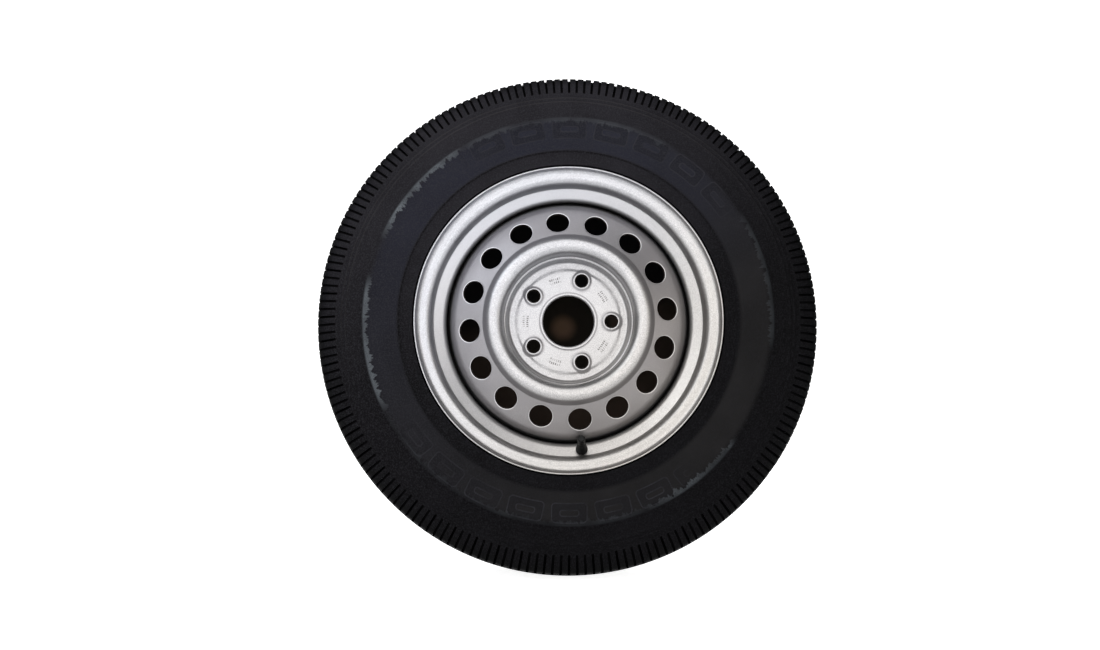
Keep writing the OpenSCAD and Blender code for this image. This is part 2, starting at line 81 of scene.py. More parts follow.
def rounded(corners, chord=CHORD_TURN):
    """A line through corners, each rounded by its own fillet."""
    line = []
    for i, corner in enumerate(corners):
        if 0 < i < len(corners) - 1 and corner[2] > 0:
            line += fillet(corners[i - 1], corner, corners[i + 1], chord)
        else:
            line.append(Vector(corner[:2]))
    return line


def shifted(line, distance):
    """The line moved sideways, to the left of its way."""
    moved = []
    for i, point in enumerate(line):
        before = (line[max(i, 1)] - line[max(i, 1) - 1]).normalized()
        after = (line[min(i + 1, len(line) - 1)] - line[min(i + 1, len(line) - 1) - 1]).normalized()
        left = Vector((-before.y - after.y, before.x + after.x))
        moved.append(point + left * distance / (1 + before.dot(after)))
    return moved


def bow(start, end, sag, count):
    """Points of a flat arc that swells to the left of its way."""
    a, b = Vector(start), Vector(end)
    half = (b - a).length / 2
    radius = (half * half + sag * sag) / (2 * sag)
    along = (b - a).normalized()
    left = Vector((-along.y, along.x))
    centre = (a + b) / 2 - left * (radius - sag)
    opening = math.asin(half / radius)
    return [
        centre + radius * (along * math.sin(t) + left * math.cos(t))
        for t in (opening * (2 * i / count - 1) for i in range(count + 1))
    ]


def height_on(line, radius):
    """The line's y at a radius. The line's radius only grows."""
    for a, b in zip(line, line[1:]):
        if a.x <= radius <= b.x and b.x > a.x:
            return a.y + (b.y - a.y) * (radius - a.x) / (b.x - a.x)
    return line[0].y if radius < line[0].x else line[-1].y


# %% [markdown]
# ## From a line to a mesh
#
# A section line becomes a surface when a grid is wrapped once round the axis. The spin operator
# would do it too, but a grid keeps its rows and columns, so later cells can find a face by where it
# lies. A bmesh then moves into an object at the origin, and its sharp edges are marked by angle.

# %% Tools for meshes
SAME_POINT = 0.004


def polar(radius, angle, y):
    """A point from millimetres and an angle seen from the dished side."""
    return Vector((radius * math.cos(angle), y, radius * math.sin(angle))) * MM


def spin_line(bm, line, steps, closed):
    """Wraps a grid once round the Y axis: its rows become rings and its columns the section line."""
    if closed:
        line = line + line[:1]
    grid = bmesh.ops.create_grid(bm, x_segments=steps, y_segments=len(line) - 1, size=1)
    for vert in grid["verts"]:
        step = round((vert.co.x + 1) / 2 * steps) % steps
        point = line[round((vert.co.y + 1) / 2 * (len(line) - 1))]
        vert.co = polar(point.x, math.tau * step / steps, point.y)


def placed(bm, name):
    """Moves a bmesh into a new object at the origin."""
    mesh = bpy.data.meshes.new(name)
    bm.to_mesh(mesh)
    bm.free()
    piece = bpy.data.objects.new(name, mesh)
    bpy.context.scene.collection.objects.link(piece)
    return piece


def finish_mesh(bm, name, sharp_angle):
    """Turns a bmesh into a smooth-shaded object with crisp corners."""
    bmesh.ops.remove_doubles(bm, verts=bm.verts, dist=SAME_POINT * MM)
    bmesh.ops.recalc_face_normals(bm, faces=bm.faces)
    open_edges = sum(1 for edge in bm.edges if len(edge.link_faces) == 1)
    print(name, len(bm.faces), "faces,", open_edges, "open edges")
    piece = placed(bm, name)
    piece.data.shade_smooth()
    piece.data.set_sharp_from_angle(angle=math.radians(sharp_angle))
    return piece


# %% [markdown]
# ## The camera
#
# The photograph is taken from about a metre away, a little below the wheel's axis, with a wide lens.
# A camera could be matched by eye, but the lip's centre, the wheel's size and the way its rings
# slide over each other give the distance and the two small angles. The rest is lens shift.

# %% Camera
IMAGE_W = 1100
FOCAL_PX = 863
SHIFT_X, SHIFT_Y = -0.0174, -0.007
LIP_FACE_Y = -81.35
VIEW_DISTANCE = 1080
VIEW_BELOW, VIEW_LEFT = math.radians(6.7), math.radians(1.2)

camera_data = bpy.data.cameras.new("camera")
camera_data.sensor_width = 36
camera_data.lens = FOCAL_PX / IMAGE_W * camera_data.sensor_width
camera_data.shift_x = SHIFT_X
camera_data.shift_y = SHIFT_Y
camera = bpy.data.objects.new("camera", camera_data)
flat_way = math.cos(VIEW_BELOW)
to_eye = Vector((-math.sin(VIEW_LEFT) * flat_way, -math.cos(VIEW_LEFT) * flat_way, -math.sin(VIEW_BELOW)))
looked_at = Vector((0, LIP_FACE_Y, 0))
camera.location = (looked_at + VIEW_DISTANCE * to_eye) * MM
camera.rotation_euler = (looked_at * MM - camera.location).to_track_quat("-Z", "Y").to_euler()
bpy.context.scene.collection.objects.link(camera)
bpy.context.scene.camera = camera
print("eye", [round(v, 4) for v in camera.location])


# %% [markdown]
# ## The tyre
#
# A tyre is moulded, so its outside is one skin of rubber. The outer line follows the mould: bead,
# flange seat, sidewall, shoulder and crown. Rings and bands could be bump alone, but they catch the
# light at a low angle, so they are real steps. They are cut a little below the CAD line, so the
# piece stays inside its box.

# %% Tyre section
SEAT_R, FLANGE_Y = 177.5, -69.75
SIDE_START, SIDE_END, SIDE_WIDEST = (198.2, -83.15), (303.5, -79.6), -94
CREST_R, CROWN_EDGE_Y, CROWN_R = 325, 66, 316.5
GROOVES = (-40.5, -13.5, 13.5, 40.5)
GROOVE_PITCH = 27
GROOVE_SECTION = ((-3.9, 0), (-3.3, 0.8), (-2.4, 8), (2.4, 8), (3.3, 0.8), (3.9, 0))
# Depth of the sidewall's relief below the moulded form, by radius
SIDE_RELIEF = (
    (198.2, 0), (206, 0.25), (211.2, 0.9), (212.2, 0.3), (214.2, 0.3), (215.4, 1.0), (218, 0.85),
    (228, 0.75), (238, 0.75), (246, 0.8), (247.4, 0.12), (253.6, 0.12), (255, 1.0), (262, 1.0),
    (270, 1.0), (275.6, 0.95), (276.5, 0.45), (277.5, 0.45), (278.4, 0.95), (281.4, 0.95),
    (282.1, 0.55), (283, 0.55), (284, 0.95), (288.6, 0.9), (290, 0.3), (296, 0.15), (303.5, 0),
)


# The moulded form of the outboard sidewall is a flat arc.
side_sag = (SIDE_START[1] + SIDE_END[1]) / 2 - SIDE_WIDEST
side_arc = bow(SIDE_START, SIDE_END, -side_sag, 60)


def tyre_half(relief):
    """The outboard half of the outer line, from the bead's toe to the crown's edge."""
    bead = rounded(
        [(176.0, -52.85, 0), (SEAT_R, FLANGE_Y, 6.4), (196.2, FLANGE_Y, 10.5), (196.2, -83.15, 0)],
        HIDDEN_CHORD_TURN,
    )
    side = [Vector((r, height_on(side_arc, r) + depth)) for r, depth in relief]
    shoulder = rounded([(308.5, -76.75, 0), (314, -72, 6.8), (CROWN_R, -CROWN_EDGE_Y, 0)], math.radians(14))
    return bead + side + shoulder


def tyre_crown():
    """The crown from edge to edge, with its grooves."""
    arc = bow((CROWN_R, -CROWN_EDGE_Y), (CROWN_R, CROWN_EDGE_Y), -(CREST_R - CROWN_R), 48)
    across = [Vector((p.y, p.x)) for p in arc]

    def radius_at(y):
        return height_on(across, y)

    line = [Vector((radius_at(y), y)) for y in (-57, -48)]
    for y in GROOVES:
        for aside, depth in GROOVE_SECTION:
            line.append(Vector((radius_at(y + aside) - depth, y + aside)))
        if y != GROOVES[-1]:
            line.append(Vector((radius_at(y + GROOVE_PITCH / 2), y + GROOVE_PITCH / 2)))
    return line + [Vector((radius_at(y), y)) for y in (48, 57)]


def tyre_liner():
    """Half of the liner, from the crown's middle to the outboard toe."""
    crown = rounded([(312.2, 0, 0), (309.8, -44, 0), (306.7, -62, 16), (301.5, -69.6, 0)], HIDDEN_CHORD_TURN)
    side = bow((295.5, -71), (214.2, -69.65), 22.9 - 6.2, 7)
    bead = [Vector(p) for p in ((204.2, -58.6), (190, -56.3), (183, -54.6), (178.9, -52.05))]
    return crown + side + bead


outer = tyre_half(SIDE_RELIEF)
inboard = tyre_half(SIDE_RELIEF[::3])
inner = tyre_liner()
tyre_line = (
    outer
    + tyre_crown()
    + [Vector((p.x, -p.y)) for p in reversed(inboard)]
    + [Vector((p.x, -p.y)) for p in reversed(inner)]
    + inner[1:]
)
print("tyre line:", len(tyre_line), "points")

# %% [markdown]
# ## The tyre's body and its slots
#
# The shoulder of a van tyre is cut by fine slots, the last bit of the tread that shows from the
# side. A boolean with 384 cutters would be slow and leave ragged faces. Here the wrapped grid
# already has a narrow column for each slot, and extruding those faces inwards cuts them all.
# Each of the 192 pitches has three columns: a narrow slot and a block of two.

# %% Tyre body
PITCHES = 192
COLUMNS = 3 * PITCHES
SLOT_SHARE = 0.31

bm = bmesh.new()
spin_line(bm, tyre_line, COLUMNS, closed=True)
bmesh.ops.remove_doubles(bm, verts=bm.verts, dist=SAME_POINT * MM)


def column_angle(step):
    """The angle of a column's edge, with the slots narrower than the blocks."""
    pitch, part = divmod(step, 3)
    share = (0, SLOT_SHARE, (1 + SLOT_SHARE) / 2)[part]
    return math.tau * (pitch + share - SLOT_SHARE / 2) / PITCHES


for vert in bm.verts:
    radius = math.hypot(vert.co.x, vert.co.z)
    step = round(math.atan2(vert.co.z, vert.co.x) / math.tau * COLUMNS) % COLUMNS
    angle = column_angle(step)
    vert.co.x = radius * math.cos(angle)
    vert.co.z = radius * math.sin(angle)

print("pitches:", PITCHES, "of", round(math.tau * CREST_R / PITCHES, 1), "mm")

# %% Shoulder slots
SLOT_START_R, SLOT_SIDE_Y = 289.9, 62
SLOT_CROWN_R, SLOT_INNER_Y = 314, 47
LINER_R, LINER_Y = 300, 76
SHALLOW_SLOT, DEEP_SLOT = 1.3, 5.0
SLOT_RUN_IN, SLOT_LEAST = 12, 0.15
# The slots are pressed towards this point of the section.
SLOT_AIM_R, SLOT_AIM_Y = 278, 50


def slot_column(face):
    """The pitch whose slot holds an outer face of the shoulder's band, or None."""
    middle = face.calc_center_median()
    radius = math.hypot(middle.x, middle.z) / MM
    y = abs(middle.y) / MM
    on_side = radius > SLOT_START_R and y > SLOT_SIDE_Y
    on_crown = radius > SLOT_CROWN_R and y > SLOT_INNER_Y
    on_liner = radius < LINER_R and y < LINER_Y
    if on_liner or not (on_side or on_crown):
        return None
    angle = math.atan2(middle.z, middle.x) % math.tau
    pitch = angle / math.tau * PITCHES + SLOT_SHARE / 2
    return int(pitch) % PITCHES if pitch % 1 < SLOT_SHARE else None


columns = {}
for face in bm.faces:
    column = slot_column(face)
    if column is not None:
        columns[face] = column
shallow = [face for face, column in columns.items() if column % 3]
deep = [face for face, column in columns.items() if column % 3 == 0]
for chosen, depth in ((shallow, SHALLOW_SLOT), (deep, DEEP_SLOT)):
    made = bmesh.ops.extrude_face_region(bm, geom=chosen)
    for vert in (v for v in made["geom"] if isinstance(v, bmesh.types.BMVert)):
        radius = math.hypot(vert.co.x, vert.co.z)
        side = math.copysign(1, vert.co.y)
        inward = Vector((SLOT_AIM_R * MM - radius, side * SLOT_AIM_Y * MM - vert.co.y)).normalized()
        fade = min(1, max(SLOT_LEAST, (radius / MM - SLOT_START_R) / SLOT_RUN_IN))
        radius_new = radius + inward.x * depth * fade * MM
        vert.co.y += inward.y * depth * fade * MM
        vert.co.x *= radius_new / radius
        vert.co.z *= radius_new / radius
    for face in (f for f in made["geom"] if isinstance(f, bmesh.types.BMFace)):
        face.material_index = 1
    bmesh.ops.delete(bm, geom=[f for f in chosen if f.is_valid], context="FACES")
print("slots:", len(set(columns.values())), "pitches of", PITCHES)

tyre = finish_mesh(bm, "tyre_moulding", 40)
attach(tyre, "wheel")
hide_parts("tyre")


# %% [markdown]
# ## The rim
#
# The rim is one steel strip, rolled into two flanges, two bead seats with safety humps and the
# drop-centre well. A Solidify modifier could thicken a surface of it, but the sheet's bare edge is
# rounded, so the back is the front line moved sideways, and both ends get an eased edge.

# %% Rim ring
RIM_T = 2.4
HALF_W = 69.85


def flange_corners(side):
    """The tyre side of one flange and seat, from the lip inwards."""
    return [
        (194.7, side * 81.35, 0),
        (194.7, side * HALF_W, 9.5),
        (177.4, side * HALF_W, 6.5),
        (175.825, side * 51.85, 3),
        (177.125, side * 49.05, 3),
    ]


rim_front = rounded(
    flange_corners(-1)
    + [(175.225, -46.145, 4), (160, -38.05, 8), (160, 7.95, 14), (171.825, 27.1, 14), (175.225, 45.25, 4)]
    + flange_corners(1)[::-1]
)
rim_back = shifted(rim_front, RIM_T)
EASE_LONG, EASE_SHORT = 0.9, 0.25


def eased_end(line, back):
    """The rounded edge of the sheet at the start of a line."""
    inward = 1 if line[0].y < 0 else -1
    return [
        Vector((back[0].x, back[0].y + inward * EASE_LONG)),
        Vector((back[0].x + 2 * EASE_SHORT, back[0].y + inward * EASE_SHORT)),
        Vector((back[0].x + RIM_T / 2, back[0].y)),
        Vector((line[0].x - 2 * EASE_SHORT, line[0].y + inward * EASE_SHORT)),
        Vector((line[0].x, line[0].y + inward * EASE_LONG)),
    ]


rim_line = (
    eased_end(rim_front, rim_back)
    + rim_front[1:-1]
    + eased_end(rim_front[::-1], rim_back[::-1])[::-1]
    + rim_back[-2:0:-1]
)
bm = bmesh.new()
spin_line(bm, rim_line, 288, closed=True)
rim = finish_mesh(bm, "rim_ring", 50)
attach(rim, "wheel")
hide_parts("rim")


# %% [markdown]
# ## The pressed disc
#
# The disc is pressed from one sheet, with its holes punched through. Booleans would punch them too,
# but they leave long thin faces that shade badly on a curved sheet. So the bolt holes and the vents
# sit in sectors, and each sector is a grid bent round its hole. The middle of the grid becomes the
# hole's wall, and its two edges become the sector's outline on the front and on the back.

# %% Disc section
DISC_T = 4
BORE_R, COLLAR_R = 33.3, 37.3
HUB_FACE_Y, HUB_BACK_Y = -35.2, -31.2
disc_front = rounded(
    [
        (BORE_R, HUB_FACE_Y, 0), (66.8, HUB_FACE_Y, 5), (69.0, -34, 2), (77.6, -34, 3.5), (80.8, -45, 4.5),
        (84.0, -46.8, 2), (84.0, -73, 11.18), (101.2, -73, 11.18), (109.5, -63.1, 4),
        (157.6, -41.078, 22), (157.6, -5.4, 0),
    ]
)
disc_back = shifted(disc_front, DISC_T)
TILT = math.radians(24.6)
HUB_OUT_R, CONE_IN_R, CONE_OUT_R = 74.5, 110.4, 144.0
DISC_STEPS = 240
BOLTS, BOLT_CIRCLE_R = 5, 56
VENTS, VENT_CIRCLE_R, VENT_R, VENT_PHASE = 16, 127.5, 15, math.radians(6.4)


def sector_outline(inner_r, outer_r, half, arc_steps, side_steps):
    """Points (radius, angle) round a sector, from one end of its outer arc."""
    points = [(outer_r, -half + 2 * half * i / arc_steps) for i in range(arc_steps)]
    points += [(outer_r + (inner_r - outer_r) * i / side_steps, half) for i in range(side_steps)]
    points += [(inner_r, half - 2 * half * i / arc_steps) for i in range(arc_steps)]
    points += [(inner_r + (outer_r - inner_r) * i / side_steps, -half) for i in range(side_steps)]
    return points


def holed_sector(bm, turn, centre_r, outline, front, back, place, dark_rings=0):
    """One sector round a hole: in over the front, through the hole's wall and out over the back.

    A ring is (millimetres from the hole's centre, share of the way out to the sector's outline).
    The wall, and as many rings round it as dark_rings says, take slot 1, the painted shade. The next ring
    takes slot 2, the painted highlight on the edge.
    """
    rings = [(ring, False) for ring in reversed(front)] + [(ring, True) for ring in back]
    grid = bmesh.ops.create_grid(bm, x_segments=len(outline), y_segments=len(rings) - 1, size=1)
    rows = {}
    for vert in grid["verts"]:
        around = round((vert.co.x + 1) / 2 * len(outline)) % len(outline)
        rows[vert] = round((vert.co.y + 1) / 2 * (len(rings) - 1))
        (distance, share), behind = rings[rows[vert]]
        radius, angle = outline[around]
        edge = Vector((radius * math.cos(angle), radius * math.sin(angle)))
        centre = Vector((centre_r, 0))
        way = (edge - centre).normalized()
        flat = (centre + way * distance).lerp(edge, share)
        vert.co = place(flat.x, flat.y, distance if share == 0 else None, behind)
        vert.co = Matrix.Rotation(-turn, 3, "Y") @ vert.co
    for face in {face for vert in rows for face in vert.link_faces}:
        low, high = min(rows[vert] for vert in face.verts), max(rows[vert] for vert in face.verts)
        if low >= len(front) - 1 - dark_rings and high <= len(front):
            face.material_index = 1
        elif low == len(front) - 2 - dark_rings and high <= len(front):
            face.material_index = 2


# %% [markdown]
# ## The hub plate
#
# Round each bolt hole the press raises a boss, with a conical seat that centres the bolt's head.
# The boss could be a piece of its own, but it is the same sheet, so each ring of the sector's grid
# is lifted to the boss's own small section.

# %% Hub plate with bolt holes
BOSS = ((7.5, -34.06), (9.1, -36.85), (9.35, -37), (10.3, -37), (10.7, -36.85), (16, -33.4))
boss_line = [Vector(p) for p in BOSS]
SEAT_END_R, BOSS_END_R, HUB_LOOP_R = 9.2, 16, 16.6
hub_outline = sector_outline(COLLAR_R, HUB_OUT_R, math.pi / BOLTS, DISC_STEPS // BOLTS, 16)
HUB_LOOPS = [(d, 0) for d in (7.5, 9.1, 9.35, 10.3, 10.7, 11.5, 12.4, 13.2, 14, 14.8, 15.6, HUB_LOOP_R)]
HUB_LOOPS += [(HUB_LOOP_R, share) for share in (0.12, 0.28, 0.46, 0.64, 0.8, 0.92, 1)]


def hub_place(x, z, distance, behind):
    """Places a point of the flat sector on the hub plate, with its bosses and conical seats."""
    radius = math.hypot(x, z)
    if behind:
        return Vector((x, height_on(disc_back, radius), z)) * MM
    y = height_on(disc_front, radius)
    if distance is not None and distance <= BOSS_END_R:
        y = min(y, height_on(boss_line, distance))
    if distance is not None and distance < SEAT_END_R:
        y = height_on(boss_line, distance)
    return Vector((x, y, z)) * MM


bm = bmesh.new()
for k in range(BOLTS):
    holed_sector(bm, math.tau * k / BOLTS, BOLT_CIRCLE_R, hub_outline, HUB_LOOPS, HUB_LOOPS, hub_place, 1)

print("hub plate:", BOLTS, "sectors,", len(bm.faces), "faces")

# %% [markdown]
# ## The vented cone
#
# The sixteen vents let air reach the brake. They are punched square to the cone, so a vent is a
# circle on the sloping sheet and an ellipse from the front. Its first ring is set back a little,
# which eases the edge as the paint and the punch do.

# %% Vented cone
EDGE_SET_BACK = 0.35
cone_outline = sector_outline(CONE_IN_R, CONE_OUT_R, math.pi / VENTS, DISC_STEPS // VENTS, 12)
# The rings round a vent are shares of its radius.
VENT_RINGS = (1, 1.045, 1.09, 1.16)
cone_loops = [(share, 0) for share in VENT_RINGS]
# From the last ring out to the sector's outline, distances are in millimetres and seen from the front.
cone_loops += [(VENT_RINGS[-1] * VENT_R * math.cos(TILT), share) for share in (0.3, 0.65, 1)]


def cone_place(x, z, distance, behind):
    """Places a point of the flat sector on the cone, with the hole square to it and its edge eased."""
    depth = DISC_T if behind else 0
    away = Vector((x - VENT_CIRCLE_R, z))
    if distance is not None:
        away = away.normalized() * VENT_R * distance
        away.x *= math.cos(TILT)
    flat = Vector((VENT_CIRCLE_R + away.x, away.y))
    radius = flat.length
    y = height_on(disc_front, radius)
    if distance == 1:
        y += -EDGE_SET_BACK if behind else EDGE_SET_BACK
    shift = (radius - depth * math.sin(TILT)) / radius
    return Vector((flat.x * shift, y + depth * math.cos(TILT), flat.y * shift)) * MM


for k in range(VENTS):
    turn = VENT_PHASE + math.tau * k / VENTS
    holed_sector(bm, turn, VENT_CIRCLE_R, cone_outline, cone_loops, cone_loops, cone_place)
print("vented cone:", VENTS, "sectors, vents", 2 * VENT_R, "mm across")

# %% [markdown]
# ## The walls between
#
# The dished wall, the crest, the bend and the collar have no holes, so they are plain spun lines.
# Their rings have to meet the two grids edge to edge. The hub's grid starts at 0 degrees and the
# cone's at the vents' phase, so the rings between them turn a little on the way.

# %% Dished wall, crest, bend and collar
GRID_TURN = (VENT_PHASE - math.pi / VENTS) % (math.tau / DISC_STEPS) - math.tau / DISC_STEPS
BACK_STEP = DISC_T * math.sin(TILT)
NEAR = 0.05


def add_spun(line, turn_at):
    """Spins a line and adds it to the disc, each ring turned by the angle that turn_at gives."""
    scratch = bmesh.new()
    spin_line(scratch, line, DISC_STEPS, closed=False)
    for vert in scratch.verts:
        turn = turn_at(math.hypot(vert.co.x, vert.co.z) / MM)
        vert.co = Matrix.Rotation(-turn, 3, "Y") @ vert.co
    mesh = bpy.data.meshes.new("scratch")
    scratch.to_mesh(mesh)
    scratch.free()
    bm.from_mesh(mesh)
    bpy.data.meshes.remove(mesh)


def add_wall(line, low, high):
    """Spins the part of a line between two radii, turning its rings from the hub's grid to the cone's."""
    part = [Vector((low, height_on(line, low)))]
    part += [p for p in line if low + NEAR < p.x < high - NEAR]
    part.append(Vector((high, height_on(line, high))))

    def turn_at(radius):
        share = (radius - low) / (high - low)
        return GRID_TURN * share * share * (3 - 2 * share)

    add_spun(part, turn_at)


def outer_part(line, low):
    """The part of a line that lies outside a radius."""
    return [Vector((low, height_on(line, low)))] + [p for p in line if p.x > low + NEAR]


add_wall(disc_front, HUB_OUT_R, CONE_IN_R)
add_wall(disc_back, HUB_OUT_R, CONE_IN_R - BACK_STEP)
bend = outer_part(disc_front, CONE_OUT_R) + outer_part(disc_back, CONE_OUT_R - BACK_STEP)[::-1]
add_spun(bend, lambda radius: GRID_TURN)

collar = [(COLLAR_R, HUB_FACE_Y, 0), (COLLAR_R, -38.2, 1), (34.5, -38.2, 0), (BORE_R, -37, 0)]
collar += [(BORE_R, HUB_BACK_Y, 0), (COLLAR_R, HUB_BACK_Y, 0)]
spin_line(bm, rounded(collar), DISC_STEPS, closed=False)
bmesh.ops.remove_doubles(bm, verts=bm.verts, dist=0.01 * MM)
disc = finish_mesh(bm, "disc_pressing", 42)
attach(disc, "wheel")
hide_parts("wheel_disc")


# %% [markdown]
# ## Finishes
#
# A finish is a tree of shader nodes. Wiring it by hand takes ten lines for each sum, so a small
# class gives short names to the few nodes that the finishes share. All of them read Object
# coordinates, and the class works out the radius and the angle round the axis, because the dirt,
# the dust and the wear on a wheel all run in rings.

# %% Node helpers
class Nodes:
    """Short names for building one material."""

    def __init__(self, name):
        self.material = bpy.data.materials.new(name)
        self.material.use_nodes = True
        self.tree = self.material.node_tree
        self.shader = self.tree.nodes["Principled BSDF"]
        coords = self.tree.nodes.new("ShaderNodeTexCoord")
        self.object = coords.outputs["Object"]
        split = self.tree.nodes.new("ShaderNodeSeparateXYZ")
        self.tree.links.new(self.object, split.inputs[0])
        self.x, self.y, self.z = split.outputs
        self.radius = self.length(self.x, self.z)
        self.angle = self.math("ARCTAN2", self.z, self.x)
        # 0 on the upper left of the wheel and 1 on its lower right, for painted light: cool and brighter on
        # the upper left, warm on the lower right
        self.warm_light_side = self.ramp(self.math("SUBTRACT", self.x, self.z), -0.3, 0.3)

    def put(self, socket, value):
        if isinstance(value, bpy.types.NodeSocket):
            self.tree.links.new(value, socket)
        else:
            socket.default_value = value

    def math(self, operation, a, b=0.0, c=0.0):
        node = self.tree.nodes.new("ShaderNodeMath")
        node.operation = operation
        for socket, value in zip(node.inputs, (a, b, c)):
            self.put(socket, value)
        return node.outputs[0]

    def length(self, u, v):
        """How far (u, v) is from the origin of its plane."""
        square = self.math("ADD", self.math("MULTIPLY", u, u), self.math("MULTIPLY", v, v))
        return self.math("SQRT", square)

    def band(self, value, low, high, soft_low, soft_high=None):
        """1 between low and high, with soft edges."""
        soft_high = soft_high or soft_low
        rise = self.ramp(value, low - soft_low, low + soft_low)
        fall = self.ramp(value, high - soft_high, high + soft_high)
        return self.math("SUBTRACT", rise, fall)

    def ramp(self, value, start, end, low=0.0, high=1.0):
        node = self.tree.nodes.new("ShaderNodeMapRange")
        node.interpolation_type = "SMOOTHSTEP"
        for socket, item in zip(node.inputs, (value, start, end, low, high)):
            self.put(socket, item)
        return node.outputs[0]

    def noise(self, scale, detail=3, rough=0.55, vector=None):
        node = self.tree.nodes.new("ShaderNodeTexNoise")
        self.put(node.inputs["Vector"], vector or self.object)
        node.inputs["Scale"].default_value = scale
        node.inputs["Detail"].default_value = detail
        node.inputs["Roughness"].default_value = rough
        return node.outputs["Fac"]

    def streaks(self, along, across, detail=3):
        """Noise drawn out round the wheel's axis."""
        turned = self.vector(
            self.math("MULTIPLY", self.math("COSINE", self.angle), along),
            self.math("MULTIPLY", self.math("SINE", self.angle), along),
            self.math("MULTIPLY", self.math("ADD", self.radius, self.y), across),
        )
        return self.noise(1.0, detail, 0.6, turned)

    def tile(self, count, first=0.0):
        """The way round the axis from the middle of the nearest of several equal sectors, in metres."""
        sector = math.tau / count
        start = self.math("SUBTRACT", self.angle, first - sector / 2 - 2 * math.tau)
        local = self.math("SUBTRACT", self.math("MODULO", start, sector), sector / 2)
        return self.math("MULTIPLY", local, self.radius)

    def box(self, u, v, half_u, half_v, round_r):
        """The distance from a rounded rectangle, less than 0 inside it."""
        over_u = self.math("MAXIMUM", self.math("SUBTRACT", self.math("ABSOLUTE", u), half_u - round_r), 0)
        over_v = self.math("MAXIMUM", self.math("SUBTRACT", self.math("ABSOLUTE", v), half_v - round_r), 0)
        return self.math("SUBTRACT", self.length(over_u, over_v), round_r)

    def vector(self, x, y, z):
        node = self.tree.nodes.new("ShaderNodeCombineXYZ")
        for socket, value in zip(node.inputs, (x, y, z)):
            self.put(socket, value)
        return node.outputs[0]

    def mix(self, share, a, b):
        """Mixes two colours."""
        node = self.tree.nodes.new("ShaderNodeMix")
        node.data_type = "RGBA"
        self.put(node.inputs["Factor"], share)
        self.put(node.inputs["A"], a)
        self.put(node.inputs["B"], b)
        return node.outputs["Result"]

    def bump(self, height, distance, strength=1.0, normal=None):
        node = self.tree.nodes.new("ShaderNodeBump")
        node.inputs["Distance"].default_value = distance
        node.inputs["Strength"].default_value = strength
        self.put(node.inputs["Height"], height)
        if normal:
            self.put(node.inputs["Normal"], normal)
        return node.outputs[0]

    def set(self, **values):
        for name, value in values.items():
            self.put(self.shader.inputs[name.replace("_", " ").title().replace("Ior", "IOR")], value)


def light_tinted(m, tone, shaded, warm_light_side):
    """Multiplies the tone by one colour on the upper left and another on the lower right, as painted light.
    """
    node = m.tree.nodes.new("ShaderNodeMix")
    node.data_type = "RGBA"
    node.blend_type = "MULTIPLY"
    node.clamp_result = False
    m.put(node.inputs["Factor"], 1.0)
    m.put(node.inputs["A"], tone)
    m.put(node.inputs["B"], m.mix(m.warm_light_side, shaded, warm_light_side))
    return node.outputs["Result"]


def grey(level, warm=0.0):
    """A linear grey, a little warmer or cooler."""
    return (level * (1 + warm), level, level * (1 - warm), 1)


# %% [markdown]
# ## Rubber
#
# Tyre rubber is black with a dull sheen. Age gives it a bluish dust above, which painted light from
# above makes paler still, and grey scuffs with a painted highlight where the sidewall bulges; the
# right side is painted darker as shade. A photograph could be laid on it, but then the wear would
# not follow the relief. So rings, noise and angles build it up: the base, the pale band as a painted
# reflection, two arcs of plain linked panels in low relief, the scuffs with their ragged inner edge,
# and the darker shoulder.

# %% Rubber
PANELS = 28
PANEL_MID_R = 0.2395
# Half width, half height and corner radius of a panel's outer and inner edges, in metres
PANEL_OUTER, PANEL_INNER = (0.0215, 0.0115, 0.005), (0.0115, 0.0035, 0.003)
PANEL_ARCS = ((34, 122), (215, 305))
# From and to, in degrees, and how strong the scuff with its painted highlight is
SCUFF_AND_HIGHLIGHT_ARCS = ((124, 156, 1), (170, 207, 0.6), (293, 322, 0.45), (60, 124, 0.16), (-8, 30, 0.12), (207, 293, 0.1))


def arc_share(m, from_deg, to_deg, strength):
    """The share of an arc between two angles, seen from the dished side."""
    middle, half = math.radians((from_deg + to_deg) / 2), math.radians((to_deg - from_deg) / 2)
    facing = m.math("COSINE", m.math("SUBTRACT", m.angle, middle))
    return m.ramp(facing, math.cos(half * 1.15), math.cos(half * 0.75), 0, strength)


m = Nodes("tyre_rubber")
mottle = m.noise(22, 4)
speck = m.noise(620, 2, 0.7)
on_front = m.ramp(m.y, -0.05, -0.07)
upper_left = m.ramp(m.math("COSINE", m.math("SUBTRACT", m.angle, math.radians(108))), -0.2, 1)
# Dust and painted light from above: a pale bluish mottle that grows towards the upper left.
dust_and_top_light = m.math("MULTIPLY", m.ramp(m.noise(11, 4), 0.25, 0.75, 0.55, 1), upper_left)
tone = m.mix(m.ramp(mottle, 0.35, 0.7), (0.0022, 0.0021, 0.0025, 1), (0.0034, 0.0032, 0.0039, 1))
# Painted shade: the rubber is darker towards the right.
tone = m.mix(m.ramp(m.x, 0.05, 0.25, 0, 0.5), tone, (0.0008, 0.0008, 0.0009, 1))
tone = m.mix(dust_and_top_light, tone, (0.0128, 0.0122, 0.0150, 1))
